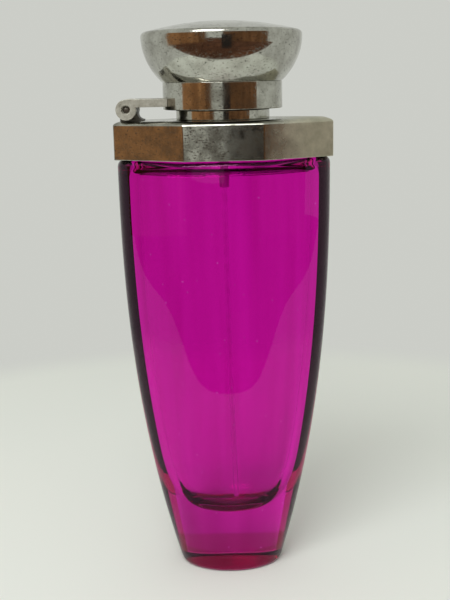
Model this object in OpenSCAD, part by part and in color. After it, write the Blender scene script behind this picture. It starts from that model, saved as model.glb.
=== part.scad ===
// Flip-cap atomiser bottle: a thick-walled glass bottle with a cast collar, a crimped
// spray pump and a hinged metal cap. Millimetres, +Z up, origin at the centre of the base.
// The hinge is on the -X side and the nozzle faces -Y, the front.

/* [Glass bottle] */
// Width of the glass at its shoulder
shoulder_w = 61.2; // [60:0.2:62]
// Depth of the glass at its shoulder
shoulder_d = 33.0; // [31:0.2:33.4]
// Width of the base
base_w = 30.4; // [24:0.2:36]
// Depth of the base
base_d = 22.4; // [18:0.2:24]
// Height of the glass shoulder above the table
shoulder_z = 123.8; // [115:0.2:135]
// How late the sides taper: higher keeps them straight for longer
taper_power = 2.4; // [2:0.1:3]
// Thickness of the side walls
wall_t = 5.2; // [4:0.1:6]
// Thickness of the solid foot under the cavity
foot_t = 17.5; // [12:0.5:20]

/* [Collar] */
// Width of the collar
collar_w = 61.8; // [61.4:0.2:64]
// Depth of the collar
collar_d = 33.6; // [33.4:0.2:36]
// Height of the collar's upright wall
collar_h = 9.6; // [9.4:0.1:11]
// Rise of the collar's top above its wall
collar_rise = 1.2; // [0.8:0.1:1.6]
// Width of the collar's flat front facet
facet_w = 22.1; // [18:0.2:26]
// Depth of the collar's short end facets
end_facet_d = 10.0; // [8:0.2:12]

/* [Hinge] */
// Distance from the bottle's axis to the hinge pin
hinge_x = 26.9; // [26.5:0.1:27]
// Radius of the cap arm's two knuckles
knuckle_r = 2.85; // [2.7:0.05:2.9]
// Radius of the hinge pin
pin_r = 0.9; // [0.7:0.05:1]
// Width of the cap arm, front to back
arm_w = 14.4; // [13:0.2:15]
// Thickness of the cap arm's plate
arm_t = 2.2; // [1.8:0.1:2.4]

/* [Cap] */
// Outside radius of the cap's skirt ring
cap_ring_r = 16.9; // [16.6:0.1:17]
// Height of the cap's skirt ring
cap_ring_h = 7.55; // [7:0.05:8]
// Largest radius of the dome
dome_r = 22.6; // [21:0.1:24]
// Radius of the dome where it meets the ring
dome_foot_r = 17.0; // [16.9:0.1:17.4]
// Height of the dome's flared bowl
bowl_h = 12.4; // [12:0.1:14]
// Radius of the dome's rounded rim
rim_r = 1.4; // [1:0.1:1.8]
// Rise of the convex crown above the rim
crown_rise = 2.7; // [2:0.1:3.5]

/* [Pump and button] */
// Stroke of the spray button
stroke = 3.6; // [3:0.1:3.6]
// Radius of the pump's hollow stem
stem_r = 1.5; // [1.3:0.05:1.6]
// Radius of the spray button
button_r = 6.2; // [5.8:0.1:6.3]
// Height of the spray button
button_h = 10.0; // [9.5:0.1:10.2]
// Outside radius of the dip tube
tube_r = 0.9; // [0.8:0.05:1]

/* [Hidden] */
$fn = 72;
eps = 0.01;

// Running clearance of a part that slides or turns in another
run_gap = 0.05;

// Glass: how many points go round each ring of the skin, and the outline's proportions
skin_points = 40;
facet_share = facet_w / collar_w;
end_share = end_facet_d / collar_d;
oblique_y = (1 - facet_share) / (1 - facet_share * end_share);
oblique_x = 1 - oblique_y * end_share;
facet_power = 16;
shoulder_round = 2.0;
base_round = 1.2;
cavity_round_h = 24.0;
cavity_top_t = 2.2;
cavity_top_round = 3.0;
cavity_faceting = 0.3;
cavity_floor_arc = 84;
cavity_floor_close = 0.99;
cavity_bowl_power = 4;
cavity_bowl_root = 3;
face_wall_share = 0.8;
bead_slope_h = 0.8;
bore_overlap = 0.5;

// Neck, for an 18 mm crimped pump
neck_bore_r = 5.6;
neck_r = 7.6;
bead_r = 8.95;
bead_z = shoulder_z + 4.5;
neck_top_z = shoulder_z + 9.1;

// Pump stack, from the top of the glass neck upwards
gasket_t = 0.6;
housing_flange_t = 0.8;
closure_flange_t = 0.6;
ferrule_t = 0.4;
gasket_z = neck_top_z;
housing_flange_z = gasket_z + gasket_t;
closure_flange_z = housing_flange_z + housing_flange_t;
ferrule_top_z = closure_flange_z + closure_flange_t;
flange_r = bead_r - 0.05;
ferrule_in_r = bead_r + 0.1;
ferrule_r = ferrule_in_r + 0.45;
boss_r = 4.2;
boss_z = ferrule_top_z + 2.0;

// Pump chamber, hanging from the flange
housing_r = 4.6;
chamber_r = 2.9;
chamber_z = shoulder_z - 1.0;
sleeve_r = 3.85;
seal_z = shoulder_z + 6.1;
seal_t = 0.8;
spigot_r = 1.5;
spigot_z = shoulder_z - 8.5;
tube_stop_z = shoulder_z - 4.9;
inlet_r = 0.5;
seat_z = shoulder_z - 4.4;
seat_h = 0.6;
ball_bore_r = 1.05;
ball_r = 0.8;
seat_half_angle = atan((ball_bore_r - inlet_r) / seat_h);
ball_z = seat_z - inlet_r / tan(seat_half_angle) + ball_r / sin(seat_half_angle) + 0.02;
piston_top_z = seal_z - 0.1;
piston_h = 1.7;
piston_z = piston_top_z - piston_h;
stem_foot_r = 1.0;
stem_bore_r = 0.5;
spring_r = 2.2;
wire_r = 0.18;
spring_turns = 4.5;
spring_steps = 14;

// Dip tube: leaves the spigot upright and leans a little to +X lower down
tube_bore_r = 0.6;
tube_lean = 1.9;
tube_end_z = foot_t + 1.6;
tube_rings = 14;

// Button and nozzle
button_stop_gap = 0.3;
button_z = ferrule_top_z + ferrule_t + stroke + button_stop_gap;
button_top_z = button_z + button_h;
button_edge = 0.8;
button_hollow_r = boss_r + 0.4;
button_hollow_h = 3.2;
stem_top_z = button_z + 6.4;
nozzle_z = button_z + 7.4;
nozzle_r = 1.7;
nozzle_depth = 2.2;
orifice_r = 0.15;
duct_r = 0.4;
button_height_to_duct = nozzle_z - button_z + 0.7;

// Collar heights
collar_z = shoulder_z;
collar_wall_z = collar_z + collar_h;
collar_top_z = collar_wall_z + collar_rise;
collar_t = 1.8;
collar_plate_z = collar_top_z - 2.0;
collar_roll = 3.5;
collar_bore_r = ferrule_r + 0.2;
insert_bore_r = ferrule_r + 0.1;
insert_wall = 1.4;
insert_web = 1.5;
insert_boss_r = insert_bore_r + 1.6;
rib_t = 1.2;

// Neck ring
neck_ring_r = 13.3;
neck_ring_in_r = ferrule_r + 0.3;
neck_ring_h = 2.75;
neck_ring_top_z = collar_top_z + neck_ring_h;

// Hinge
hinge_z = collar_top_z + 3.15;
knuckle_w = 3.5;
lug_half_w = arm_w / 2 - knuckle_w - 0.2;
lug_r = 2.6;
lug_back_x = hinge_x + 2.0;
lug_front_x = hinge_x - 4.6;
lug_flare_r = 1.7;
lug_toe_h = 0.3;
slot_end_x = hinge_x - 3.0;
arm_top_z = hinge_z + knuckle_r;
arm_z = arm_top_z - arm_t;
pin_half = arm_w / 2 - 0.8;
pin_sink_r = 1.25;
pin_sink = 1.1;

// Cap heights
cap_z = neck_ring_top_z + 0.1;
cap_ring_in_r = cap_ring_r - 2.2;
dome_z = cap_z + cap_ring_h;
rim_z = dome_z + bowl_h;
crown_z = rim_z + rim_r + crown_rise;
bowl_b = bowl_h / sqrt(1 - pow(dome_foot_r / dome_r, 2));
dome_t = 2.2;
lip_h = 3.0;
fit_gap = 0.03;
lip_t = 1.6;
liner_r = 9.0;
liner_t = 1.2;
liner_top_z = button_top_z + 5.0;
liner_flange_t = 1.4;

// Radius of a unit outline in direction a: 1 is the faceted outline, 0 the plain ellipse
function facet_radius(a) =
    pow(pow(abs(cos(a)), facet_power) + pow(abs(sin(a)), facet_power)
        + pow(oblique_x * abs(cos(a)) + oblique_y * abs(sin(a)), facet_power), -1 / facet_power);

// One ring of the glass skin at height z, half width w and half depth d
function skin_ring(z, w, d, faceted) =
    [for (k = [0 : skin_points - 1])
        let (a = 360 * k / skin_points, r = 1 - faceted + faceted * facet_radius(a))
        [w * r * cos(a), d * r * sin(a), z]];

// Share of the taper that is left at height z: 1 at the base, 0 at the shoulder
function taper(z) = pow(max(0, 1 - z / shoulder_z), taper_power);
function outer_w(z) = (shoulder_w - (shoulder_w - base_w) * taper(z)) / 2;
function outer_d(z) = (shoulder_d - (shoulder_d - base_d) * taper(z)) / 2;
function faceting(z) = 1 - taper(z);

// The glass skin as rings: up the outside, over the neck, down the bore and the cavity
function round_in(r, k, n) = r * (1 - sin(90 * k / n));
function round_up(r, k, n) = r * (1 - cos(90 * k / n));
wall_rings = 16;
cavity_wall_rings = 12;
round_rings = 4;
floor_rings = 9;
base_rings =
    [for (k = [0 : round_rings - 1])
        let (z = round_up(base_round, k, round_rings), s = round_in(base_round, k, round_rings))
        skin_ring(z, outer_w(z) - s, outer_d(z) - s, faceting(z))];
side_rings =
    [for (k = [0 : wall_rings])
        let (z = base_round + (shoulder_z - shoulder_round - base_round) * k / wall_rings)
        skin_ring(z, outer_w(z), outer_d(z), faceting(z))];
shoulder_rings =
    [for (k = [1 : round_rings])
        let (s = round_up(shoulder_round, k, round_rings))
        skin_ring(shoulder_z - round_in(shoulder_round, k, round_rings),
                  shoulder_w / 2 - s, shoulder_d / 2 - s, 1)];
neck_steps = [[neck_r, shoulder_z], [neck_r, bead_z], [bead_r, bead_z + bead_slope_h],
              [bead_r, neck_top_z], [neck_bore_r, neck_top_z],
              [neck_bore_r, shoulder_z - cavity_top_t + bore_overlap]];
neck_rings = [for (s = neck_steps) skin_ring(s[1], s[0], s[0], 0)];
cavity_top_z = shoulder_z - cavity_top_t;
cavity_bend_z = foot_t + cavity_round_h;

// The cavity follows the outside with softer corners, and closes in a rounded bowl
function inner_w(z) = outer_w(z) - wall_t;
function inner_d(z) = outer_d(z) - wall_t * face_wall_share;
function cavity_ring(z, inset, share) =
    skin_ring(z, (inner_w(z) - inset) * share, (inner_d(z) - inset) * share,
              faceting(z) * cavity_faceting);
cavity_top_rings =
    [for (k = [0 : round_rings])
        let (s = round_in(cavity_top_round, k, round_rings),
             z = cavity_top_z - round_up(cavity_top_round, k, round_rings))
        cavity_ring(z, s, 1)];
cavity_side_rings =
    [for (k = [1 : cavity_wall_rings])
        let (span = cavity_top_z - cavity_top_round - cavity_bend_z)
        cavity_ring(cavity_top_z - cavity_top_round - span * k / cavity_wall_rings, 0, 1)];
cavity_floor_rings =
    [for (k = [1 : floor_rings])
        let (down = sin(cavity_floor_arc * k / floor_rings) / sin(cavity_floor_arc),
             share = pow(1 - pow(cavity_floor_close * down, cavity_bowl_power),
                         1 / cavity_bowl_root))
        cavity_ring(cavity_bend_z - cavity_round_h * down, 0, share)];
glass_rings = concat(base_rings, side_rings, shoulder_rings, neck_rings,
                     cavity_top_rings, cavity_side_rings, cavity_floor_rings);

// Closed skin through rings of equal length: two triangles a cell, one flat cap an end
module skin(rings) {
    n = len(rings[0]);
    last = len(rings) - 1;
    points = [for (ring = rings) for (p = ring) p];
    cells = [for (j = [0 : last - 1]) for (k = [0 : n - 1])
        let (a = j * n + k, b = j * n + (k + 1) % n)
        for (face = [[a, a + n, b], [b, a + n, b + n]]) face];
    start_cap = [[for (k = [0 : n - 1]) k]];
    end_cap = [[for (k = [n - 1 : -1 : 0]) last * n + k]];
    polyhedron(points, concat(cells, start_cap, end_cap));
}

// Rings of radius r round a path; sides holds the direction of each ring's first point
function unit(v) = v / norm(v);
function along(path, i) = unit(path[min(i + 1, len(path) - 1)] - path[max(i - 1, 0)]);
function tube_rings_on(path, sides, r, n) =
    [for (i = [0 : len(path) - 1])
        let (u = sides[i], v = cross(along(path, i), u))
        [for (k = [0 : n - 1]) path[i] + r * (cos(360 * k / n) * u + sin(360 * k / n) * v)]];

// Octagonal outline of the collar, moved inwards by t
corner_dx = (collar_w - facet_w) / 2;
corner_dy = (collar_d - end_facet_d) / 2;
facet_nx = corner_dy / norm([corner_dx, corner_dy]);
facet_ny = corner_dx / norm([corner_dx, corner_dy]);
facet_c = facet_nx * collar_w / 2 + facet_ny * end_facet_d / 2;
module collar_outline(t) {
    x = collar_w / 2 - t;
    y = collar_d / 2 - t;
    fx = (facet_c - t - facet_ny * y) / facet_nx;
    ey = (facet_c - t - facet_nx * x) / facet_ny;
    polygon([[fx, -y], [x, -ey], [x, ey], [fx, y], [-fx, y], [-x, ey], [-x, -ey], [-fx, -y]]);
}

// Thick glass with a solid foot, a U-shaped cavity and a beaded crimp neck
module glass_bottle() {
    color([0.69, 0.02, 0.52, 0.6]) skin(glass_rings);
}

// Flat ring between two radii, standing on z
module flat_ring(z, h, inner, outer) {
    translate([0, 0, z]) difference() {
        cylinder(h = h, r = outer);
        translate([0, 0, -1]) cylinder(h = h + 2, r = inner);
    }
}

// Soft washer that the ferrule squeezes onto the top of the glass neck
module neck_gasket() {
    color("white") flat_ring(gasket_z, gasket_t, neck_bore_r + 0.2, flange_r);
}

// Flanged pump body: chamber, ball seat and the spigot that grips the dip tube
module pump_housing() {
    color([0.9, 0.9, 0.86]) rotate_extrude() polygon([
        [flange_r, closure_flange_z], [flange_r, housing_flange_z],
        [housing_r, housing_flange_z], [housing_r, chamber_z + 0.6],
        [spigot_r, chamber_z - 1.2], [spigot_r, spigot_z], [tube_r, spigot_z],
        [tube_r, tube_stop_z], [inlet_r, tube_stop_z], [inlet_r, seat_z],
        [ball_bore_r, seat_z + seat_h], [ball_bore_r, chamber_z], [chamber_r, chamber_z],
        [chamber_r, seal_z], [sleeve_r, seal_z], [sleeve_r, closure_flange_z]]);
}

// Steel ball that closes the inlet on the down stroke
module inlet_ball() {
    color("silver") translate([0, 0, ball_z]) sphere(r = ball_r);
}

// Coil spring between the chamber's ledge and the piston
module return_spring() {
    low = chamber_z + wire_r + 0.02;
    high = piston_z - wire_r - 0.02;
    steps = spring_turns * spring_steps;
    turn = [for (i = [0 : steps]) 360 * i / spring_steps];
    path = [for (i = [0 : steps])
        [spring_r * cos(turn[i]), spring_r * sin(turn[i]), low + (high - low) * i / steps]];
    sides = [for (a = turn) [cos(a), sin(a), 0]];
    color("silver") skin(tube_rings_on(path, sides, wire_r, 8));
}

// Plastic piston pressed on the foot of the stem
module pump_piston() {
    color([0.85, 0.85, 0.85])
        flat_ring(piston_z, piston_h, stem_foot_r, chamber_r - run_gap);
}

// Hollow stem that carries the button and drives the piston
module pump_stem() {
    color("white") rotate_extrude() polygon([
        [stem_bore_r, piston_z], [stem_foot_r, piston_z], [stem_foot_r, piston_top_z],
        [stem_r, piston_top_z], [stem_r, stem_top_z], [stem_bore_r, stem_top_z]]);
}

// Rubber ring that wipes the stem
module stem_seal() {
    color([0.2, 0.2, 0.2]) flat_ring(seal_z, seal_t, stem_r + run_gap, sleeve_r);
}

// Turret that closes the pump and guides the stem
module pump_closure() {
    color("white") rotate_extrude() polygon([
        [stem_r + run_gap, seal_z + seal_t], [sleeve_r, seal_z + seal_t],
        [sleeve_r, closure_flange_z], [flange_r, closure_flange_z],
        [flange_r, ferrule_top_z], [boss_r, ferrule_top_z], [boss_r, boss_z],
        [stem_r + run_gap, boss_z]]);
}

// Aluminium cup crimped under the bead of the neck
module pump_ferrule() {
    hole_r = boss_r + 0.1;
    top_z = ferrule_top_z + ferrule_t;
    color([0.78, 0.78, 0.76]) rotate_extrude() polygon([
        [neck_r + 0.2, bead_z - 0.7], [ferrule_r, bead_z], [ferrule_r, ferrule_top_z],
        [ferrule_r - ferrule_t, top_z], [hole_r, top_z], [hole_r, ferrule_top_z],
        [ferrule_in_r, ferrule_top_z], [ferrule_in_r, bead_z + 0.6],
        [neck_r + 0.2, bead_z - 0.2]]);
}

// Clear tube from the spigot to just above the floor of the cavity
module dip_tube() {
    drop = spigot_z - tube_end_z;
    straight = [[0, 0, tube_stop_z], [0, 0, spigot_z]];
    lean = [for (i = [1 : tube_rings])
        [tube_lean * pow(i / tube_rings, 1.5), 0, spigot_z - drop * i / tube_rings]];
    path = concat(straight, lean);
    sides = [for (p = path) [0, 1, 0]];
    ends = [path[0] + [0, 0, 1], path[len(path) - 1] - [0, 0, 1]];
    bore_path = concat([ends[0]], lean, [ends[1]]);
    bore_sides = [for (p = bore_path) [0, 1, 0]];
    color([0.9, 0.85, 0.9, 0.6]) difference() {
        skin(tube_rings_on(path, sides, tube_r, 12));
        skin(tube_rings_on(bore_path, bore_sides, tube_bore_r, 12));
    }
}

// Moulded filler that centres the collar on the ferrule
module collar_insert() {
    height = collar_plate_z - collar_z;
    color([0.25, 0.25, 0.27]) translate([0, 0, collar_z]) difference() {
        linear_extrude(height) collar_outline(collar_t);
        difference() {
            translate([0, 0, -1]) linear_extrude(height - insert_web + 1)
                collar_outline(collar_t + insert_wall);
            cylinder(h = height, r = insert_boss_r);
            for (turn = [0, 60, 120]) rotate(turn) translate([-collar_w / 2, -rib_t / 2, 0])
                cube([collar_w, rib_t, height]);
        }
        translate([0, 0, -1]) cylinder(h = height + 2, r = insert_bore_r);
    }
}

// Block of the lug's foot, which fills the mortise in the collar
module lug_foot() {
    translate([-lug_back_x, -lug_half_w, collar_plate_z])
        cube([lug_back_x - lug_front_x, 2 * lug_half_w, collar_top_z - collar_plate_z]);
}

// Cast faceted collar: an upright wall and a softly crowned top, hollow underneath
module collar() {
    color([0.62, 0.6, 0.56]) difference() {
        hull() {
            translate([0, 0, collar_z]) linear_extrude(collar_h) collar_outline(0);
            translate([0, 0, collar_wall_z]) linear_extrude(collar_rise)
                collar_outline(collar_roll);
        }
        translate([0, 0, collar_z - 1]) linear_extrude(collar_plate_z - collar_z + 1)
            collar_outline(collar_t);
        translate([0, 0, collar_z]) cylinder(h = collar_h * 2, r = collar_bore_r);
        lug_foot();
    }
}

// Turned ring on the collar that hides the ferrule
module neck_ring() {
    color([0.75, 0.74, 0.72])
        flat_ring(collar_top_z, neck_ring_h, neck_ring_in_r, neck_ring_r);
}

// Places a cylinder along Y on the hinge axis
module on_hinge(h, r) {
    translate([-hinge_x, h / 2, hinge_z]) rotate([90, 0, 0]) cylinder(h = h, r = r);
}

// Fixed lug between the knuckles, let into the collar, with a flared inner side
module hinge_lug() {
    flare = [for (a = [0 : 15 : 90])
        [-lug_front_x - lug_flare_r * sin(a),
         collar_top_z + lug_toe_h + lug_flare_r * (1 - cos(a))]];
    color([0.45, 0.44, 0.42]) difference() {
        union() {
            on_hinge(2 * lug_half_w, lug_r);
            lug_foot();
            translate([0, lug_half_w, 0]) rotate([90, 0, 0]) linear_extrude(2 * lug_half_w)
                polygon(concat([[-lug_back_x, collar_top_z], [-lug_front_x, collar_top_z]],
                               flare,
                               [[-lug_front_x - lug_flare_r, hinge_z], [-hinge_x, hinge_z],
                                [-lug_back_x, hinge_z - lug_flare_r]]));
        }
        on_hinge(arm_w, pin_r);
    }
}

// Steel pin held in the lug, its ends sunk below the knuckles' faces
module hinge_pin() {
    color([0.4, 0.4, 0.4]) on_hinge(2 * pin_half, pin_r);
}

// Spray button: dished top, hollow skirt over the turret, stem socket and nozzle pocket
module spray_button() {
    color([0.8, 0.8, 0.8]) difference() {
        rotate_extrude() polygon(concat(
            [[0, button_z], [button_r, button_z], [button_r, button_top_z - button_edge]],
            [for (a = [15 : 15 : 90]) [button_r - button_edge * (1 - cos(a)),
                                       button_top_z - button_edge * (1 - sin(a))]],
            [for (k = [1 : 6]) [(button_r - button_edge) * (1 - k / 6),
                                button_top_z - 0.7 * sin(90 * k / 6)]]));
        translate([0, 0, button_z - 1]) cylinder(h = button_hollow_h + 1, r = button_hollow_r);
        translate([0, 0, button_z]) cylinder(h = stem_top_z - button_z, r = stem_r);
        translate([0, 0, button_z]) cylinder(h = button_height_to_duct, r = stem_bore_r);
        translate([0, 0, nozzle_z]) rotate([90, 0, 0]) cylinder(h = button_r, r = duct_r);
        translate([0, nozzle_depth - button_r, nozzle_z]) rotate([90, 0, 0])
            cylinder(h = nozzle_depth + 1, r = nozzle_r);
    }
}

// Swirl insert pressed into the button's pocket
module nozzle_insert() {
    length = nozzle_depth - 0.5;
    color("white") translate([0, nozzle_depth - button_r, nozzle_z]) rotate([90, 0, 0])
        difference() {
            cylinder(h = length, r = nozzle_r);
            translate([0, 0, -1]) cylinder(h = length + 2, r = orifice_r);
            translate([0, 0, -eps]) cylinder(h = length - 0.5, r = nozzle_r - 0.8);
        }
}

// Moulded cup inside the cap, with a flange that closes the ring round the button
module cap_liner() {
    color([0.3, 0.3, 0.32]) rotate_extrude() polygon([
        [liner_r, cap_z], [cap_ring_in_r, cap_z], [cap_ring_in_r, cap_z + liner_flange_t],
        [liner_r + liner_t, cap_z + liner_flange_t], [liner_r + liner_t, liner_top_z + liner_t],
        [0, liner_top_z + liner_t], [0, liner_top_z], [liner_r, liner_top_z]]);
}

// Turned skirt ring of the cap
module cap_ring() {
    color([0.75, 0.74, 0.72]) flat_ring(cap_z, cap_ring_h, cap_ring_in_r, cap_ring_r);
}

// Flat arm from the ring to the hinge, forked into two knuckles
module cap_arm() {
    color([0.6, 0.59, 0.56]) difference() {
        union() {
            on_hinge(arm_w, knuckle_r);
            translate([-hinge_x, -arm_w / 2, arm_z]) cube([hinge_x, arm_w, arm_t]);
        }
        translate([-hinge_x - knuckle_r - 1, -arm_w / 2 + knuckle_w, hinge_z - knuckle_r - 1])
            cube([knuckle_r + 1 + hinge_x - slot_end_x, arm_w - 2 * knuckle_w,
                  2 * knuckle_r + 2]);
        translate([0, 0, cap_z]) cylinder(h = cap_ring_h, r = cap_ring_r + fit_gap);
        on_hinge(arm_w + 2, pin_r + run_gap);
        for (side = [-1, 1]) translate([0, side * (arm_w - pin_sink) / 2, 0])
            on_hinge(pin_sink + eps, pin_sink_r);
    }
}

// Cast dome: convex crown, rounded rim, flared bowl and a lip that plugs the ring
module cap_dome() {
    flat_r = dome_r - rim_r;
    crown = [for (k = [0 : 10]) [flat_r * k / 10, crown_z - crown_rise * pow(k / 10, 2)]];
    rim = [for (a = [75 : -15 : 15]) [flat_r + rim_r * cos(a), rim_z + rim_r * sin(a)]];
    bowl = [for (k = [0 : 12]) let (down = bowl_h * k / 12)
        [dome_r * sqrt(1 - pow(down / bowl_b, 2)), rim_z - down]];
    lip_r = cap_ring_in_r - fit_gap;
    lip = [[lip_r, dome_z], [lip_r, dome_z - lip_h], [lip_r - lip_t, dome_z - lip_h],
           [lip_r - lip_t, dome_z + 0.6]];
    inside = [for (k = [5 : -1 : 0]) let (down = 1.6 + (bowl_h - 4.8) * k / 5)
        [(dome_r - dome_t) * sqrt(1 - pow(down / bowl_b, 2)), rim_z - down]];
    ceiling = [[flat_r - 2 * dome_t, rim_z], [0, crown_z - dome_t]];
    color([0.74, 0.75, 0.73]) rotate_extrude()
        polygon(concat(crown, rim, bowl, lip, inside, ceiling));
}

glass_bottle();
neck_gasket();
pump_housing();
inlet_ball();
return_spring();
pump_piston();
pump_stem();
stem_seal();
pump_closure();
pump_ferrule();
dip_tube();
collar_insert();
collar();
neck_ring();
hinge_lug();
hinge_pin();
spray_button();
nozzle_insert();
cap_liner();
cap_ring();
cap_arm();
cap_dome();
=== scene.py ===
import math

import bmesh
import bpy
from mathutils import Matrix, Vector


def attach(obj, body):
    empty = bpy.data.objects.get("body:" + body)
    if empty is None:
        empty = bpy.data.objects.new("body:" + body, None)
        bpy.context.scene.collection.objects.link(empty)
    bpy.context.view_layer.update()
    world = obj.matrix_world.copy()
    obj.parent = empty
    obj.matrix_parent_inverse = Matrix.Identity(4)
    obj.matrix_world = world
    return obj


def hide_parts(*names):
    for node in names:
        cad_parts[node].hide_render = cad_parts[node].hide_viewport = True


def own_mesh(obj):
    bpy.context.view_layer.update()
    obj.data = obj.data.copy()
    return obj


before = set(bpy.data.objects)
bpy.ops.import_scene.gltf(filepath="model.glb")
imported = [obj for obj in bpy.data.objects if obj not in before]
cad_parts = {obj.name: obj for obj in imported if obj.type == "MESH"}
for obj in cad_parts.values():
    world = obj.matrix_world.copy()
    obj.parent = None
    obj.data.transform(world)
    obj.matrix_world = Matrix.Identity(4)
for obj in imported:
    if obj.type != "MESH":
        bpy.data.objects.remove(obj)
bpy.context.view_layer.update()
MM = 0.001

# ---------------------------------------------------------------- camera
# A lens of moderate length at the height of the cap's skirt looks down on the foot,
# held slightly askew and half a millimetre to the hinge side.
lens_height = 145.3 * MM
lens_distance = 289 * MM
lens_side = -0.5 * MM
look_down = math.radians(12.4)
lean = math.radians(1.2)

camera_data = bpy.data.cameras.new("camera")
camera_data.lens = 60
camera_data.sensor_width = 36
camera_data.clip_start = 10 * MM
camera = bpy.data.objects.new("camera", camera_data)
camera.matrix_world = (
    Matrix.Translation((lens_side, -lens_distance, lens_height))
    @ Matrix.Rotation(math.pi / 2 - look_down, 4, "X")
    @ Matrix.Rotation(-lean, 4, "Z")
)
bpy.context.scene.collection.objects.link(camera)
bpy.context.scene.camera = camera


# ---------------------------------------------------------------- floor
# A sheet of matt off-white paper, so wide that its far edge melts into the backdrop.
def linear(colour):
    """Turns an sRGB hex colour into the linear values that a shader takes."""
    parts = [int(colour[i : i + 2], 16) / 255 for i in (1, 3, 5)]
    return (*(c / 12.92 if c <= 0.04045 else ((c + 0.055) / 1.055) ** 2.4 for c in parts), 1)


def add(tree, kind, sockets=None, stops=(), **settings):
    """Adds a node with its settings; a socket value is a constant or a link.

    stops are the (position, hex colour) pairs of a colour ramp."""
    node = tree.nodes.new(kind)
    for name, value in settings.items():
        setattr(node, name, value)
    for place, (position, colour) in enumerate(stops):
        if place >= len(node.color_ramp.elements):
            node.color_ramp.elements.new(position)
        element = node.color_ramp.elements[place]
        element.position = position
        element.color = linear(colour)
    for name, value in (sockets or {}).items():
        if isinstance(value, bpy.types.NodeSocket):
            tree.links.new(value, node.inputs[name])
        else:
            node.inputs[name].default_value = value
    return node


def start_material(name):
    """An empty material with a shader on its output, and its object coordinates."""
    material = bpy.data.materials.new(name)
    material.use_nodes = True
    tree = material.node_tree
    tree.nodes.clear()
    shader = add(tree, "ShaderNodeBsdfPrincipled")
    add(tree, "ShaderNodeOutputMaterial", {"Surface": shader.outputs["BSDF"]})
    place = add(tree, "ShaderNodeTexCoord").outputs["Object"]
    return material, tree, shader, place


def per_mm(size):
    """Texture scale that makes one feature about this many millimetres across."""
    return 1 / (size * MM)


backdrop_tone, backdrop_light = "#F8FAF3", 0.64


def matt_paper(near, far):
    """Uncoated paper: no gloss, and a tone that drifts a little over a hand's width.

    Between two distances from the bottle it passes into the even tone of the backdrop."""
    material, tree, shader, place = start_material("matt_paper")
    drift = add(tree, "ShaderNodeTexNoise", {"Vector": place, "Scale": per_mm(180)})
    tone = add(tree, "ShaderNodeValToRGB", {"Fac": drift.outputs["Fac"]}, [
        (0.3, "#E6E9E4"), (0.7, "#EAECE6")]).outputs["Color"]
    reach = add(tree, "ShaderNodeVectorMath", {0: place}, operation="LENGTH")
    fade = add(tree, "ShaderNodeMapRange", {
        "Value": reach.outputs["Value"], "From Min": near * MM, "From Max": far * MM},
        interpolation_type="SMOOTHSTEP")
    paper = add(tree, "ShaderNodeMix", {"Factor": fade.outputs["Result"]}, data_type="RGBA")
    tree.links.new(tone, paper.inputs["A"])
    paper.inputs["B"].default_value = linear("#000000")
    tree.links.new(paper.outputs["Result"], shader.inputs["Base Color"])
    glow = add(tree, "ShaderNodeMath", {
        0: fade.outputs["Result"], 1: backdrop_light}, operation="MULTIPLY")
    tree.links.new(glow.outputs["Value"], shader.inputs["Emission Strength"])
    shader.inputs["Emission Color"].default_value = linear(backdrop_tone)
    shader.inputs["Roughness"].default_value = 1.0
    shader.inputs["Specular IOR Level"].default_value = 0.0
    return material


def set_piece(name, bm, material):
    """Makes a piece of the set, which isn't part of the bottle."""
    mesh = bpy.data.meshes.new(name)
    bm.to_mesh(mesh)
    bm.free()
    mesh.materials.append(material)
    item = bpy.data.objects.new(name, mesh)
    bpy.context.scene.collection.objects.link(item)
    return item


floor_mesh = bmesh.new()
bmesh.ops.create_circle(floor_mesh, cap_ends=True, segments=64, radius=6)
set_piece("floor", floor_mesh, matt_paper(215, 260))

# ---------------------------------------------------------------- studio
# Soft even light all round and a soft box above and to the left. The brown boards of a
# room stand in front of the bottle, and only its polished metal shows them.
world = bpy.data.worlds.new("soft_studio")
world.use_nodes = True
bpy.context.scene.world = world
world.node_tree.nodes["Background"].inputs["Color"].default_value = linear(backdrop_tone)
world.node_tree.nodes["Background"].inputs["Strength"].default_value = backdrop_light
bpy.context.scene.view_settings.view_transform = "Standard"


def soft_box(name, place, aim, width, depth, watts):
    """A soft rectangular lamp at one point, turned to face another."""
    data = bpy.data.lights.new(name, "AREA")
    data.shape = "RECTANGLE"
    data.size, data.size_y = width, depth
    data.energy = watts
    lamp = bpy.data.objects.new(name, data)
    lamp.location = place
    lamp.rotation_euler = (Vector(aim) - Vector(place)).to_track_quat("-Z", "Y").to_euler()
    bpy.context.scene.collection.objects.link(lamp)


soft_box("top_box", (-0.17, -0.42, 0.60), (0, -0.10, 0.03), 0.40, 0.32, 2.6)


def board(name, light, deep):
    """A painted board with upright streaks, bright enough to show in a mirror."""
    material, tree, shader, place = start_material(name)
    upright = add(tree, "ShaderNodeMapping", {"Vector": place, "Scale": (1, 1, 0.08)})
    grain = add(tree, "ShaderNodeTexNoise", {
        "Vector": upright.outputs["Vector"], "Scale": per_mm(70), "Detail": 3.0})
    tone = add(tree, "ShaderNodeValToRGB", {"Fac": grain.outputs["Fac"]}, [
        (0.35, deep), (0.65, light)]).outputs["Color"]
    tree.links.new(tone, shader.inputs["Emission Color"])
    shader.inputs["Emission Strength"].default_value = 1.0
    shader.inputs["Base Color"].default_value = linear("#000000")
    shader.inputs["Roughness"].default_value = 1.0
    shader.inputs["Specular IOR Level"].default_value = 0.0
    return material


def mirrors_only(item):
    """Hides a piece of the set from everything but reflections."""
    item.visible_camera = False
    item.visible_diffuse = False
    item.visible_shadow = False
    item.visible_transmission = False
    item.visible_volume_scatter = False


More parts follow.
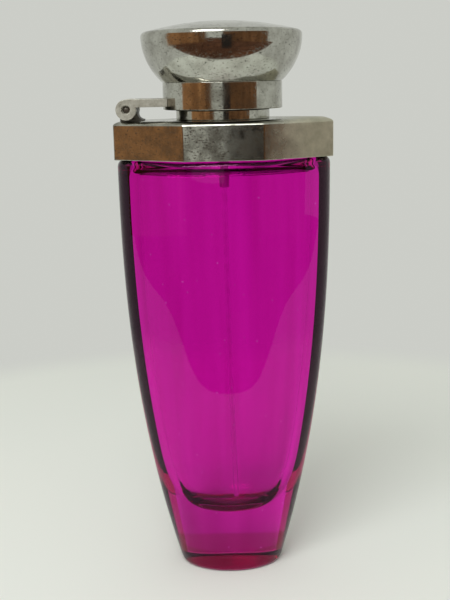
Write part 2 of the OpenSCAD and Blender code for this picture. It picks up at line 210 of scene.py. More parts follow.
def bent_board(name, material, start, stop, low, high, reach):
    """An upright board bent round the bottle, from one bearing to another off the front."""
    bm = bmesh.new()
    ray = Vector((0, -reach, low))
    first = bm.verts.new(Matrix.Rotation(math.radians(start), 3, "Z") @ ray)
    upper = bm.verts.new(first.co + Vector((0, 0, high - low)))
    edge = bm.edges.new((first, upper))
    bmesh.ops.spin(bm, geom=[first, upper, edge], cent=(0, 0, 0), axis=(0, 0, 1),
                   angle=math.radians(stop - start), steps=24)
    mirrors_only(set_piece(name, bm, material))


bent_board("left_board", board("brown_board", "#B48459", "#8E6340"), -81, -31, -0.4, 0.36, 0.62)
bent_board("left_post", board("post_board", "#7A5638", "#5E4029"), -32, -21, -0.4, 0.36, 0.61)
bent_board("right_board", board("dim_board", "#805B3F", "#5C4029"), 2, 67, -0.4, 0.36, 0.62)

card_mesh = bmesh.new()
bmesh.ops.create_grid(card_mesh, x_segments=1, y_segments=1, size=0.5)
bmesh.ops.transform(card_mesh, verts=card_mesh.verts, matrix=(
    Matrix.Translation((0.040, -0.305, 0.070)) @ Matrix.Rotation(math.pi / 2, 4, "X")
    @ Matrix.Diagonal((0.078, 0.165, 1, 1))))
mirrors_only(set_piece("dark_card", card_mesh, board("dark_board", "#2F2B28", "#25211F")))

table_mesh = bmesh.new()
bmesh.ops.create_grid(table_mesh, x_segments=1, y_segments=1, size=0.5)
bmesh.ops.transform(table_mesh, verts=table_mesh.verts, matrix=(
    Matrix.Translation((0, -0.652, 0.5 * MM)) @ Matrix.Diagonal((1.4, 1, 1, 1))))
mirrors_only(set_piece("front_table", table_mesh, board("table_board", "#6E4B38", "#4F3628")))

# ---------------------------------------------------------------- glass bottle
# Thick flint glass, blown in a mould: faceted shoulder, oval foot and a beaded neck.
# Magenta lacquer is sprayed on the outside only, foot and all, so the bore is clear.
shoulder = Vector((61.2, 33.0)) / 2
foot_oval = Vector((30.4, 22.4)) / 2
shoulder_z = 123.75
taper_power = 2.4
side_wall = 5.2
face_wall = 4.16
floor_z = 17.5
facet_share = 22.1 / 61.8
end_share = 10.0 / 33.6
outer_crispness = 14
inner_crispness = 10
cavity_faceting = 0.3


def facet_radius(bearing, crispness):
    """Distance to a unit octagon's edge; a higher crispness keeps its corners sharper."""
    x, y = abs(math.cos(bearing)), abs(math.sin(bearing))
    slope_y = (1 - facet_share) / (1 - facet_share * end_share)
    slope_x = 1 - slope_y * end_share
    return (x**crispness + y**crispness + (slope_x * x + slope_y * y) ** crispness) ** (
        -1 / crispness)


def shaped_spin(levels, steps, coated=0):
    """Spins an upright line of vertices, then gives each level its own outline.

    A level is (half width, half depth, height, faceting, crispness). The first few,
    as many as coated says, carry the lacquer."""
    bm = bmesh.new()
    lacquer = bm.verts.layers.float.new("lacquer")
    line = [bm.verts.new((1, 0, i)) for i in range(len(levels))]
    for low, high in zip(line, line[1:]):
        bm.edges.new((low, high))
    bmesh.ops.spin(bm, geom=line + bm.edges[:], axis=(0, 0, 1), cent=(0, 0, 0),
                   angle=math.tau, steps=steps, use_merge=True)
    for vertex in bm.verts:
        index = round(vertex.co.z)
        half_w, half_d, z, faceting, crispness = levels[index]
        bearing = math.atan2(vertex.co.y, vertex.co.x)
        r = 1 - faceting + faceting * facet_radius(bearing, crispness)
        vertex.co = Vector((half_w * r * math.cos(bearing), half_d * r * math.sin(bearing), z)) * MM
        vertex[lacquer] = 1.0 if index < coated else 0.0
    return bm


def glass_size(z):
    """Half width, half depth and faceting of the outside at one height."""
    left = max(0, 1 - z / shoulder_z) ** taper_power
    size = shoulder + (foot_oval - shoulder) * left
    return size.x, size.y, 1 - left


def glass_outside():
    """Levels up the outside: a shallow push-up under the foot, its rim, sides, shoulder."""
    push_up, rim, turn = 0.5, 1.4, 2.0
    hollow_inset, bearing_inset = 3.2, 2.4
    rim_steps, side_steps, turn_steps = 7, 72, 8
    w, d, faceting = glass_size(0)
    levels = [((w - hollow_inset) * k / 3, (d - hollow_inset) * k / 3, push_up, faceting,
               outer_crispness) for k in (1, 2, 3)]
    levels.append((w - bearing_inset, d - bearing_inset, push_up / 2, faceting, outer_crispness))
    for k in range(rim_steps):
        a = math.pi / 2 * k / rim_steps
        z = rim * (1 - math.cos(a))
        w, d, faceting = glass_size(z)
        inset = rim * (1 - math.sin(a))
        levels.append((w - inset, d - inset, z, faceting, outer_crispness))
    for k in range(side_steps + 1):
        z = rim + (shoulder_z - turn - rim) * k / side_steps
        w, d, faceting = glass_size(z)
        levels.append((w, d, z, faceting, outer_crispness))
    for k in range(1, turn_steps + 1):
        a = math.pi / 2 * k / turn_steps
        inset = turn * (1 - math.cos(a))
        z = shoulder_z - turn * (1 - math.sin(a))
        levels.append((shoulder.x - inset, shoulder.y - inset, z, 1, outer_crispness))
    return levels


def glass_neck():
    """Levels over the crimp neck and down its bore."""
    steps = [(11, 0), (7.6, 0), (7.6, 4.5), (8.95, 5.3), (8.95, 8.7), (8.6, 9.1), (6.0, 9.1),
             (5.6, 8.7), (5.6, 1.0), (5.6, -1.0), (6.0, -1.7), (7.2, -2.1)]
    return [(r, r, shoulder_z + z, 0, outer_crispness) for r, z in steps]


def glass_inside():
    """Levels down the cavity, rounder than the outside, to its bowl above the foot."""
    top, turn, bowl = shoulder_z - 2.2, 3.0, 24.0
    turn_steps, side_steps, bowl_steps = 8, 40, 32
    bend = floor_z + bowl
    steps = []
    for k in range(1, turn_steps + 1):
        a = math.pi / 2 * k / turn_steps
        steps.append((top - turn * (1 - math.cos(a)), turn * (1 - math.sin(a)), 1))
    for k in range(1, side_steps + 1):
        steps.append((top - turn + (bend - top + turn) * k / side_steps, 0, 1))
    for k in range(1, bowl_steps + 1):
        # The last step stops half a step short of the middle, which is filled flat.
        down = math.sin(math.pi / 2 * k / (bowl_steps + 0.5))
        steps.append((bend - bowl * down, 0, (1 - down**4) ** (1 / 3)))
    levels = []
    for z, inset, share in steps:
        w, d, faceting = glass_size(z)
        levels.append(((w - side_wall - inset) * share, (d - face_wall - inset) * share, z,
                       faceting * cavity_faceting, inner_crispness))
    return levels


def lacquered_glass():
    """Flint glass under magenta lacquer: mirror-smooth, with all its colour in the skin.

    Light that the skin throws back inside has crossed the lacquer twice, so that mirror
    has the lacquer's colour too."""
    material, tree, shader, place = start_material("magenta_lacquered_glass")
    skin = add(tree, "ShaderNodeAttribute", attribute_name="lacquer")
    upright = add(tree, "ShaderNodeMapping", {"Vector": place, "Scale": (1, 1, 0.07)})
    runs = add(tree, "ShaderNodeTexNoise", {
        "Vector": upright.outputs["Vector"], "Scale": per_mm(7), "Detail": 2.0})
    spray = add(tree, "ShaderNodeValToRGB", {"Fac": runs.outputs["Fac"]}, [
        (0.32, "#CF0A9F"), (0.68, "#E614B8")]).outputs["Color"]
    dust = add(tree, "ShaderNodeTexVoronoi", {"Vector": place, "Scale": per_mm(5)})
    pinholes = add(tree, "ShaderNodeMapRange", {
        "Value": dust.outputs["Distance"], "From Min": 0.03, "From Max": 0.055,
        "To Min": 0.25, "To Max": 1.0})
    cover = add(tree, "ShaderNodeMath", {
        0: skin.outputs["Fac"], 1: pinholes.outputs["Result"]}, operation="MULTIPLY")
    # The colour is darker over the lowest seven millimetres: painted shade for the foot, which
    # light thrown back inside and the shadow under the bottle darken.
    height = add(tree, "ShaderNodeSeparateXYZ", {"Vector": place}).outputs["Z"]
    foot_shade_fade = add(tree, "ShaderNodeMapRange", {
        "Value": height, "From Min": 7.4 * MM, "From Max": 6.4 * MM})
    painted_foot_shade = add(tree, "ShaderNodeMix", {"Factor": foot_shade_fade.outputs["Result"]}, data_type="RGBA")
    painted_foot_shade.inputs["B"].default_value = linear("#B21570")
    tree.links.new(spray, painted_foot_shade.inputs["A"])
    tint = add(tree, "ShaderNodeMix", {"Factor": cover.outputs["Value"]}, data_type="RGBA")
    tint.inputs["A"].default_value = linear("#FFFFFF")
    tree.links.new(painted_foot_shade.outputs["Result"], tint.inputs["B"])
    tree.links.new(tint.outputs["Result"], shader.inputs["Base Color"])
    shader.inputs["Roughness"].default_value = 0.0
    shader.inputs["IOR"].default_value = 1.5
    shader.inputs["Transmission Weight"].default_value = 1.0
    shader.inputs["Specular Tint"].default_value = linear("#F098D4")
    inner_mirror = add(tree, "ShaderNodeBsdfAnisotropic", {
        "Color": tint.outputs["Result"], "Roughness": 0.0})
    bounce = add(tree, "ShaderNodeFresnel", {"IOR": 1.5})
    thrown_back = add(tree, "ShaderNodeMath", {
        0: bounce.outputs["Fac"], 1: 0.995}, operation="GREATER_THAN")
    within = add(tree, "ShaderNodeMath", {
        0: thrown_back.outputs["Value"],
        1: add(tree, "ShaderNodeNewGeometry").outputs["Backfacing"]}, operation="MULTIPLY")
    whole = add(tree, "ShaderNodeMixShader", {
        "Fac": within.outputs["Value"], 1: shader.outputs["BSDF"],
        2: inner_mirror.outputs["BSDF"]})
    tree.links.new(whole.outputs["Shader"], tree.nodes["Material Output"].inputs["Surface"])
    return material


def make_piece(name, bm, material, body, nodes=(), sharp=35):
    """Turns a bmesh into a finished piece that rides on a body of the bottle."""
    mesh = bpy.data.meshes.new(name)
    bm.to_mesh(mesh)
    bm.free()
    mesh.materials.append(material)
    mesh.shade_smooth()
    mesh.set_sharp_from_angle(angle=math.radians(sharp))
    piece = bpy.data.objects.new(name, mesh)
    bpy.context.scene.collection.objects.link(piece)
    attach(piece, body)
    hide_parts(*nodes)
    return piece


outside = glass_outside()
glass_mesh = shaped_spin(outside + glass_neck() + glass_inside(), 160, coated=len(outside))
open_edges = [e for e in glass_mesh.edges if e.is_boundary]
bmesh.ops.holes_fill(glass_mesh, edges=open_edges, sides=0)
bmesh.ops.recalc_face_normals(glass_mesh, faces=glass_mesh.faces)
make_piece("lacquered_bottle", glass_mesh, lacquered_glass(), "bottle",
           ["glass_bottle"], sharp=80)

# ---------------------------------------------------------------- spray pump
# A crimp pump of natural polypropylene stands in the neck, with a clear dip tube.
# A bright aluminium ferrule is rolled under the glass bead, over a white gasket.
def turned(profile, steps=128, soft=0.0):
    """Turns a closed profile of (radius, height) points once round the bottle's axis.

    Corners over 25 degrees get a small round of the width that soft gives."""
    bm = bmesh.new()
    line = [bm.verts.new((r * MM, 0, z * MM)) for r, z in profile]
    on_axis = profile[0][0] == 0 and profile[-1][0] == 0
    for a, b in zip(line, line[1:] if on_axis else line[1:] + line[:1]):
        bm.edges.new((a, b))
    bmesh.ops.spin(bm, geom=line + bm.edges[:], axis=(0, 0, 1), cent=(0, 0, 0),
                   angle=math.tau, steps=steps, use_merge=True)
    bmesh.ops.remove_doubles(bm, verts=bm.verts, dist=0.002 * MM)
    bmesh.ops.recalc_face_normals(bm, faces=bm.faces)
    if soft:
        corners = [e for e in bm.edges if len(e.link_faces) == 2
                   and e.calc_face_angle(0) > math.radians(25)]
        bmesh.ops.bevel(bm, geom=corners, offset=soft * MM, offset_type="OFFSET", segments=3,
                        profile=0.5, affect="EDGES", material=-1, clamp_overlap=True)
    return bm


def moulded_plastic(name, light, deep, roughness, grain=0.02):
    """Injection-moulded plastic: even colour, a faint flow mottle and a satin skin."""
    material, tree, shader, place = start_material(name)
    flow = add(tree, "ShaderNodeTexNoise", {"Vector": place, "Scale": per_mm(6), "Detail": 3.0})
    tone = add(tree, "ShaderNodeValToRGB", {"Fac": flow.outputs["Fac"]}, [
        (0.35, deep), (0.65, light)]).outputs["Color"]
    tree.links.new(tone, shader.inputs["Base Color"])
    skin = add(tree, "ShaderNodeTexNoise", {"Vector": place, "Scale": per_mm(0.35)})
    bump = add(tree, "ShaderNodeBump", {
        "Height": skin.outputs["Fac"], "Distance": grain * MM, "Strength": 0.6})
    tree.links.new(bump.outputs["Normal"], shader.inputs["Normal"])
    shader.inputs["Roughness"].default_value = roughness
    return material


def drawn_metal(name, light, deep, roughness):
    """Bright drawn metal, with fine lines round it a quarter of a millimetre apart."""
    material, tree, shader, place = start_material(name)
    flat = add(tree, "ShaderNodeMapping", {"Vector": place, "Scale": (0.05, 0.05, 1)})
    lines = add(tree, "ShaderNodeTexNoise", {
        "Vector": flat.outputs["Vector"], "Scale": per_mm(0.25), "Detail": 2.0})
    tone = add(tree, "ShaderNodeValToRGB", {"Fac": lines.outputs["Fac"]}, [
        (0.3, deep), (0.7, light)]).outputs["Color"]
    tree.links.new(tone, shader.inputs["Base Color"])
    bump = add(tree, "ShaderNodeBump", {
        "Height": lines.outputs["Fac"], "Distance": 0.004 * MM, "Strength": 0.5})
    tree.links.new(bump.outputs["Normal"], shader.inputs["Normal"])
    shader.inputs["Metallic"].default_value = 1.0
    shader.inputs["Roughness"].default_value = roughness
    return material


def refinish(name, material):
    """Gives a part that is kept from the design its real finish."""
    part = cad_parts[name]
    for holder in part.material_slots:
        holder.material = material


natural_plastic = moulded_plastic("natural_polypropylene", "#ECEBE2", "#E2E0D5", 0.38)
white_plastic = moulded_plastic("white_polyethylene", "#F3F3EF", "#E9E9E4", 0.5)
steel = drawn_metal("stainless_steel", "#C9C8C4", "#B7B6B2", 0.22)
rubber = moulded_plastic("black_nitrile_rubber", "#2A2A2A", "#1E1E1E", 0.7, grain=0.04)

housing = turned([
    (8.9, 134.3), (8.9, 133.5), (4.6, 133.5), (4.6, 123.6), (4.3, 123.1), (1.9, 121.7),
    (1.5, 121.2), (1.5, 115.5), (1.35, 115.3), (0.9, 115.3), (0.9, 118.9), (0.5, 118.9),
    (0.5, 119.4), (1.05, 120.0), (1.05, 122.8), (2.9, 122.8), (2.9, 129.9), (3.85, 129.9),
    (3.85, 134.3)], soft=0.08)
make_piece("pump_body", housing, natural_plastic, "bottle", ["pump_housing"])

closure = turned([
    (1.55, 130.7), (3.8, 130.7), (3.8, 134.3), (8.9, 134.3), (8.9, 134.88), (4.4, 134.88),
    (4.2, 135.1), (4.2, 136.5), (3.8, 136.9), (1.9, 136.9), (1.55, 136.6)], soft=0.08)
make_piece("pump_turret", closure, natural_plastic, "bottle", ["pump_closure"])

stem = turned([
    (0.5, 128.1), (0.98, 128.1), (0.98, 129.8), (1.5, 129.8), (1.5, 145.3), (1.3, 145.6),
    (0.5, 145.6)], steps=48, soft=0.05)
make_piece("hollow_stem", stem, natural_plastic, "button", ["pump_stem"])

refinish("neck_gasket", white_plastic)
refinish("pump_piston", white_plastic)
refinish("inlet_ball", steel)
refinish("stem_seal", rubber)

# The spring is one length of wire wound up the chamber from its ledge to the piston.
wire_r, coil_r, turns, coil_steps = 0.18, 2.2, 4.5, 24
coil_low, coil_high = 122.8 + wire_r, 128.1 - wire_r
coil = bmesh.new()
bmesh.ops.create_circle(coil, cap_ends=True, segments=10, radius=wire_r * MM, matrix=(
    Matrix.Translation((coil_r * MM, 0, coil_low * MM)) @ Matrix.Rotation(math.pi / 2, 4, "X")))
wound = round(turns * coil_steps)
bmesh.ops.spin(coil, geom=coil.faces[:], axis=(0, 0, 1), cent=(0, 0, 0), steps=wound,
               angle=math.tau * turns, dvec=(0, 0, (coil_high - coil_low) * MM / wound))
bmesh.ops.recalc_face_normals(coil, faces=coil.faces)
spring = make_piece("return_coil", coil, steel, "bottle", ["return_spring"])
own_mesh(spring)

ferrule = turned([
    (7.9, 127.7), (8.9, 127.6), (9.45, 128.0), (9.5, 128.4), (9.5, 134.9), (9.35, 135.2),
    (9.0, 135.3), (4.4, 135.3), (4.3, 135.2), (4.3, 134.95), (9.05, 134.95), (9.05, 128.9),
    (8.6, 128.4), (7.9, 128.1)], soft=0.06)
bright_aluminium = drawn_metal("bright_aluminium", "#D6D6D2", "#C4C4C0", 0.25)
make_piece("crimped_ferrule", ferrule, bright_aluminium, "bottle", ["pump_ferrule"])

# The tube drops straight out of the pump, then leans a little away from the hinge.
tube_top, tube_spigot, tube_foot, tube_lean = 118.85, 115.3, 19.1, 1.9
tube_r, tube_bore_r, tube_steps = 0.88, 0.6, 24
tube_path = [Vector((0, 0, tube_top)), Vector((0, 0, tube_spigot))]
for k in range(1, tube_steps + 1):
    down = k / tube_steps
    tube_path.append(Vector((tube_lean * down**1.5, 0,
                             tube_spigot - (tube_spigot - tube_foot) * down)))
tube = bmesh.new()
bmesh.ops.create_circle(tube, segments=24, radius=tube_r * MM, matrix=(
    Matrix.Translation(tube_path[0] * MM)))
edges = tube.edges[:]
for above, below in zip(tube_path, tube_path[1:]):
    grown = bmesh.ops.extrude_edge_only(tube, edges=edges)["geom"]
    edges = [e for e in grown if isinstance(e, bmesh.types.BMEdge)]
    ring = [v for v in grown if isinstance(v, bmesh.types.BMVert)]
    bmesh.ops.translate(tube, verts=ring, vec=(below - above) * MM)
bmesh.ops.recalc_face_normals(tube, faces=tube.faces)


def clear_plastic(name, colour):
    """Extruded low-density polyethylene: clear, a little milky and softly glossy."""
    material, tree, shader, place = start_material(name)
    haze = add(tree, "ShaderNodeTexNoise", {"Vector": place, "Scale": per_mm(3)})
    tone = add(tree, "ShaderNodeValToRGB", {"Fac": haze.outputs["Fac"]}, [
        (0.3, colour), (0.7, "#FFFFFF")]).outputs["Color"]
    tree.links.new(tone, shader.inputs["Base Color"])
    shader.inputs["Roughness"].default_value = 0.12
    shader.inputs["IOR"].default_value = 1.12
    shader.inputs["Transmission Weight"].default_value = 1.0
    return material


dip_tube = make_piece("dip_tube_clear", tube, clear_plastic("clear_polyethylene", "#F6F4F4"),
                      "bottle", ["dip_tube"])
wall = dip_tube.modifiers.new("tube_wall", "SOLIDIFY")
wall.thickness = (tube_r - tube_bore_r) * MM
wall.offset = -1


# ---------------------------------------------------------------- collar
# Zinc die casting under thin chrome: eight facets, a crowned top and a hollow underside.
# It presses over a moulded filler on the ferrule. The chrome is pitted, and gone on one end.
def soften(piece, width, angle=32):
    """Gives a piece small rounded edges and even shading, as live modifiers."""
    edge = piece.modifiers.new("rounded_edges", "BEVEL")
    edge.width = width * MM
    edge.segments = 3
    edge.limit_method = "ANGLE"
    edge.angle_limit = math.radians(angle)
    edge.use_clamp_overlap = True
    shading = piece.modifiers.new("even_shading", "WEIGHTED_NORMAL")
    shading.keep_sharp = True


def worn_chrome(name, bright, dull, roughness, worn="#CFCCB8", bare=None, spot=0.75):
    """Thin chrome over a polished zinc casting, after years of use.

    The mirror is clouded in patches of about five millimetres and peppered with dark
    pits. bare is the (start, end) along X, in millimetres, where the chrome wears off."""
    material, tree, shader, place = start_material(name)
    cloud = add(tree, "ShaderNodeTexNoise", {
        "Vector": place, "Scale": per_mm(4.5), "Detail": 6.0, "Roughness": 0.62})
    tone = add(tree, "ShaderNodeValToRGB", {"Fac": cloud.outputs["Fac"]}, [
        (0.36, dull), (0.60, bright)]).outputs["Color"]
    lying = add(tree, "ShaderNodeMapping", {"Vector": place, "Scale": (0.7, 0.7, 1.3)})
    pits = add(tree, "ShaderNodeTexNoise", {
        "Vector": lying.outputs["Vector"], "Scale": per_mm(0.55), "Detail": 4.0,
        "Roughness": 0.72})
    pit_mask = add(tree, "ShaderNodeMapRange", {
        "Value": pits.outputs["Fac"], "From Min": 0.58, "From Max": 0.66})
    pitted = add(tree, "ShaderNodeMix", {
        "Factor": pit_mask.outputs["Result"]}, data_type="RGBA")
    tree.links.new(tone, pitted.inputs["A"])
    pitted.inputs["B"].default_value = linear("#4B4840")
    gloss = add(tree, "ShaderNodeMapRange", {
        "Value": cloud.outputs["Fac"], "From Min": 0.34, "From Max": 0.62,
        "To Min": roughness[1], "To Max": roughness[0]})
    colour, rough = pitted.outputs["Result"], gloss.outputs["Result"]
    if bare:
        x = add(tree, "ShaderNodeSeparateXYZ", {"Vector": place}).outputs["X"]
        ragged = add(tree, "ShaderNodeTexNoise", {
            "Vector": place, "Scale": per_mm(7), "Detail": 5.0, "Roughness": 0.65})
        shift = add(tree, "ShaderNodeMath", {
            0: ragged.outputs["Fac"], 1: 14 * MM, 2: -7 * MM}, operation="MULTIPLY_ADD")
        edge = add(tree, "ShaderNodeMath", {0: x, 1: shift.outputs["Value"]}, operation="ADD")
        gone = add(tree, "ShaderNodeMapRange", {
            "Value": edge.outputs["Value"], "From Min": bare[0] * MM, "From Max": bare[1] * MM})
        metal = add(tree, "ShaderNodeMix", {"Factor": gone.outputs["Result"]}, data_type="RGBA")
        stain = add(tree, "ShaderNodeValToRGB", {"Fac": ragged.outputs["Fac"]}, [
            (0.3, "#A3A08C"), (0.7, worn)]).outputs["Color"]
        tree.links.new(colour, metal.inputs["A"])
        tree.links.new(stain, metal.inputs["B"])
        colour = metal.outputs["Result"]
        matt = add(tree, "ShaderNodeMix", {"Factor": gone.outputs["Result"]})
        tree.links.new(rough, matt.inputs["A"])
        matt.inputs["B"].default_value = 0.5
        rough = matt.outputs["Result"]
    tree.links.new(colour, shader.inputs["Base Color"])
    tree.links.new(rough, shader.inputs["Roughness"])
    ripple = add(tree, "ShaderNodeTexNoise", {"Vector": place, "Scale": per_mm(3), "Detail": 2.0})
    waves = add(tree, "ShaderNodeBump", {
        "Height": ripple.outputs["Fac"], "Distance": 0.02 * MM, "Strength": 0.4})
    dents = add(tree, "ShaderNodeBump", {
        "Height": pit_mask.outputs["Result"], "Distance": 0.012 * MM, "Strength": spot,
        "Normal": waves.outputs["Normal"]}, invert=True)
    tree.links.new(dents.outputs["Normal"], shader.inputs["Normal"])
    shader.inputs["Metallic"].default_value = 1.0
    return material


collar_w, collar_d, facet_w, end_facet_d = 61.8, 33.6, 22.1, 10.0
collar_foot, wall_top, crown_rise, roll = 123.8, 133.4, 1.2, 3.5
collar_wall, plate_z, bore_r = 1.8, 132.6, 9.7
roll_steps = 8
collar = bmesh.new()
corners = [(collar_w / 2, end_facet_d / 2), (facet_w / 2, collar_d / 2)]
half = corners + [(-x, y) for x, y in reversed(corners)]
outline = half + [(-x, -y) for x, y in half]
foot = collar.faces.new([collar.verts.new((x * MM, y * MM, collar_foot * MM)) for x, y in outline])
grown = bmesh.ops.extrude_face_region(collar, geom=[foot])["geom"]
bmesh.ops.translate(collar, vec=(0, 0, (wall_top - collar_foot) * MM),
                    verts=[v for v in grown if isinstance(v, bmesh.types.BMVert)])
top = next(f for f in grown if isinstance(f, bmesh.types.BMFace))
bmesh.ops.recalc_face_normals(collar, faces=collar.faces)
for k in range(roll_steps):
    start, stop = (math.pi / 2 * j / roll_steps for j in (k, k + 1))
    bmesh.ops.inset_region(
        collar, faces=[top], use_even_offset=True,
        thickness=roll * (math.cos(start) - math.cos(stop)) * MM,
        depth=crown_rise * (math.sin(stop) - math.sin(start)) * MM)
bmesh.ops.inset_region(collar, faces=[foot], use_even_offset=True, thickness=collar_wall * MM)
bmesh.ops.inset_region(collar, faces=[foot], depth=(collar_foot - plate_z) * MM)
bore = bmesh.ops.create_circle(collar, segments=96, radius=bore_r * MM, matrix=(
    Matrix.Translation((0, 0, (wall_top + crown_rise) * MM))))["verts"]
upper = list({e for v in bore for e in v.link_edges})
drop = bmesh.ops.extrude_edge_only(collar, edges=upper)["geom"]
bmesh.ops.translate(collar, vec=(0, 0, (plate_z - wall_top - crown_rise) * MM),
                    verts=[v for v in drop if isinstance(v, bmesh.types.BMVert)])
lower = [e for e in drop if isinstance(e, bmesh.types.BMEdge)]
for face, loop in ((top, upper), (foot, lower)):
    rim = list(face.edges)
    bmesh.ops.delete(collar, geom=[face], context="FACES_ONLY")
    bmesh.ops.bridge_loops(collar, edges=rim + loop)
bmesh.ops.recalc_face_normals(collar, faces=collar.faces)
collar_chrome = worn_chrome("worn_chromed_zinc", "#B4B3A9", "#8F8E84", (0.08, 0.24),
                            bare=(12, 24))
soften(make_piece("cast_collar", collar, collar_chrome, "bottle", ["collar"],
                  sharp=20), 0.3, angle=20)

black_plastic = moulded_plastic("black_polypropylene", "#35353A", "#29292D", 0.45)
refinish("collar_insert", black_plastic)

# ---------------------------------------------------------------- neck ring
# A turned brass ring, chromed like the collar, stands on it and hides the ferrule.
# Its top edge is broken, so a dark line parts it from the ring of the cap.
ring_chrome = worn_chrome("chromed_ring", "#B9B9AF", "#97968C", (0.05, 0.20), spot=0.5)
lower_ring = turned([(9.8, 134.55), (13.3, 134.55), (13.3, 137.35), (9.8, 137.35)],
                    steps=192, soft=0.3)
soften(make_piece("lower_ring", lower_ring, ring_chrome, "bottle", ["neck_ring"]), 0.05)

# ---------------------------------------------------------------- hinge
# A cast lug on the collar stands between the two knuckles of the cap's arm. A steel pin
# runs through all three, its ends sunk. None of it was ever polished, and it is worn bare.
def from_design(name):
    """A copy of a designed part's mesh, merged, with its flat faces in one piece again."""
    bm = bmesh.new()
    bm.from_mesh(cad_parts[name].data)
    bmesh.ops.remove_doubles(bm, verts=bm.verts, dist=0.001 * MM)
    bmesh.ops.dissolve_limit(bm, angle_limit=math.radians(0.5), verts=bm.verts, edges=bm.edges)
    return bm


def bare_casting(name, light, deep, grime, metallic=0.75):
    """Bare die-cast zinc: grainy, dull and stained, with grime in its low spots."""
    material, tree, shader, place = start_material(name)
    stain = add(tree, "ShaderNodeTexNoise", {
        "Vector": place, "Scale": per_mm(2.2), "Detail": 7.0, "Roughness": 0.7})
    tone = add(tree, "ShaderNodeValToRGB", {"Fac": stain.outputs["Fac"]}, [
        (0.28, grime), (0.42, deep), (0.64, light)]).outputs["Color"]
    tree.links.new(tone, shader.inputs["Base Color"])
    grit = add(tree, "ShaderNodeTexNoise", {
        "Vector": place, "Scale": per_mm(0.4), "Detail": 4.0, "Roughness": 0.6})
    skin = add(tree, "ShaderNodeBump", {
        "Height": grit.outputs["Fac"], "Distance": 0.05 * MM, "Strength": 0.7})
    worn = add(tree, "ShaderNodeBump", {
        "Height": stain.outputs["Fac"], "Distance": 0.15 * MM, "Strength": 0.6,
        "Normal": skin.outputs["Normal"]})
    tree.links.new(worn.outputs["Normal"], shader.inputs["Normal"])
    rough = add(tree, "ShaderNodeMapRange", {
        "Value": stain.outputs["Fac"], "From Min": 0.3, "From Max": 0.65,
        "To Min": 0.6, "To Max": 0.36})
    tree.links.new(rough.outputs["Result"], shader.inputs["Roughness"])
    shader.inputs["Metallic"].default_value = metallic
    return material


arm_metal = bare_casting("bare_cast_zinc", "#C2C1B6", "#A19F93", "#5E5A4E", metallic=0.5)
# The lug is the arm's cast zinc in darker tones: painted shade for the shadow under the arm, over
# the same grime.
shaded_lug_metal = bare_casting("shaded_grimy_cast_zinc", "#85837B", "#5B5851", "#2E2B26", metallic=0.5)
soften(make_piece("hinge_post", from_design("hinge_lug"), shaded_lug_metal, "bottle",
                  ["hinge_lug"]), 0.2)
pin_half, hinge_x, hinge_z = 6.4, 26.9, 137.75
pin = turned([(0, -pin_half), (0.5, -pin_half), (0.88, -pin_half + 0.2), (0.88, pin_half - 0.2),
              (0.5, pin_half), (0, pin_half)], steps=32)
bmesh.ops.transform(pin, verts=pin.verts, matrix=(
    Matrix.Translation((-hinge_x * MM, 0, hinge_z * MM)) @ Matrix.Rotation(math.pi / 2, 4, "X")))
pin_steel = bare_casting("tarnished_steel", "#8A877F", "#6A665D", "#33302A", metallic=1.0)
make_piece("hinge_pin_steel", pin, pin_steel, "bottle", ["hinge_pin"])
soften(make_piece("forked_arm", from_design("cap_arm"), arm_metal, "cap", ["cap_arm"]), 0.25)

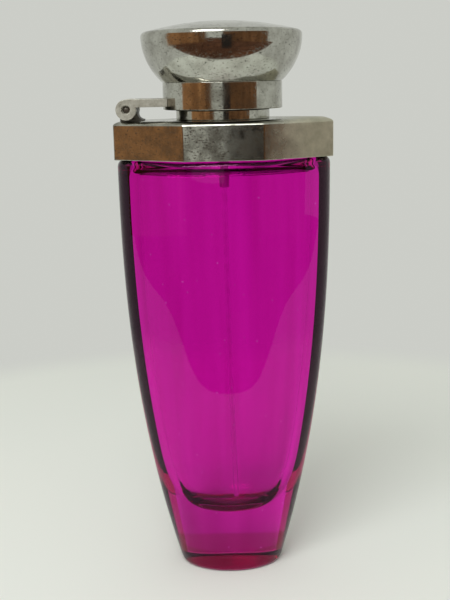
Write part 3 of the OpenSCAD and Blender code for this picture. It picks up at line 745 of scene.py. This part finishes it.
# ---------------------------------------------------------------- spray button
# Moulded in grey ABS with a dished top and pushed onto the stem. A white swirl insert
# with a fine hole is pressed into the pocket on its front.
grey_plastic = moulded_plastic("grey_abs", "#C9C9C9", "#BDBDBE", 0.32)
soften(make_piece("dished_button", from_design("spray_button"), grey_plastic, "button",
                  ["spray_button"]), 0.15)
nozzle = turned([(0.15, 0), (0.15, 0.25), (0.45, 0.4), (0.9, 0.4), (1.0, 0.25), (1.68, 0.25),
                 (1.68, -1.35), (0.9, -1.35), (0.9, -0.15), (0.15, -0.15)], steps=64, soft=0.05)
bmesh.ops.transform(nozzle, verts=nozzle.verts, matrix=(
    Matrix.Translation((0, -5.35 * MM, 146.6 * MM)) @ Matrix.Rotation(math.pi / 2, 4, "X")))
make_piece("swirl_nozzle", nozzle, white_plastic, "button", ["nozzle_insert"])

# ---------------------------------------------------------------- cap
# A turned ring, a cast dome whose lip plugs it, and a black liner that clears the button.
# Ring and dome are chromed. The crown is the cleanest, and the bowl is peppered with pits.
cap_ring = turned([(14.7, 137.45), (16.9, 137.45), (16.9, 144.95), (14.7, 144.95)],
                  steps=256, soft=0.25)
soften(make_piece("upper_ring", cap_ring, ring_chrome, "cap", ["cap_ring"]), 0.05)

dome_r, rim_r, rim_z, dome_z, crown_z = 22.6, 1.4, 157.4, 145.0, 161.5
bowl_reach, crown_drop, dome_wall = 18.8, 2.7, 2.2
crown_steps, bowl_steps = 16, 32
crown_r = dome_r - rim_r
profile = [(crown_r * k / crown_steps, crown_z - crown_drop * (k / crown_steps) ** 2)
           for k in range(crown_steps + 1)]
profile += [(crown_r + rim_r * math.cos(math.radians(a)), rim_z + rim_r * math.sin(math.radians(a)))
            for a in range(80, 0, -8)]
for k in range(bowl_steps + 1):
    down = (rim_z - dome_z) * k / bowl_steps
    profile.append((dome_r * math.sqrt(1 - (down / bowl_reach) ** 2), rim_z - down))
profile += [(16.75, 144.85), (14.9, 144.85), (14.65, 145.2), (14.65, 142.0), (13.07, 142.0),
            (13.07, 145.4), (19.0, 151.6), (20.2, 156.0), (18.2, 157.6), (0, crown_z - dome_wall)]
dome_chrome = worn_chrome("pitted_chrome", "#BDBDB4", "#A2A198", (0.05, 0.16), spot=0.6)
dome = turned(profile, steps=256)
soften(make_piece("chromed_dome", dome, dome_chrome, "cap", ["cap_dome"]), 0.1)

liner = turned([
    (9.0, 137.5), (14.68, 137.5), (14.68, 138.8), (10.2, 138.8), (10.2, 155.2), (9.8, 155.4),
    (0, 155.4), (0, 154.2), (8.8, 154.2), (9.0, 154.0)], soft=0.1)
make_piece("cap_lining", liner, black_plastic, "cap", ["cap_liner"])
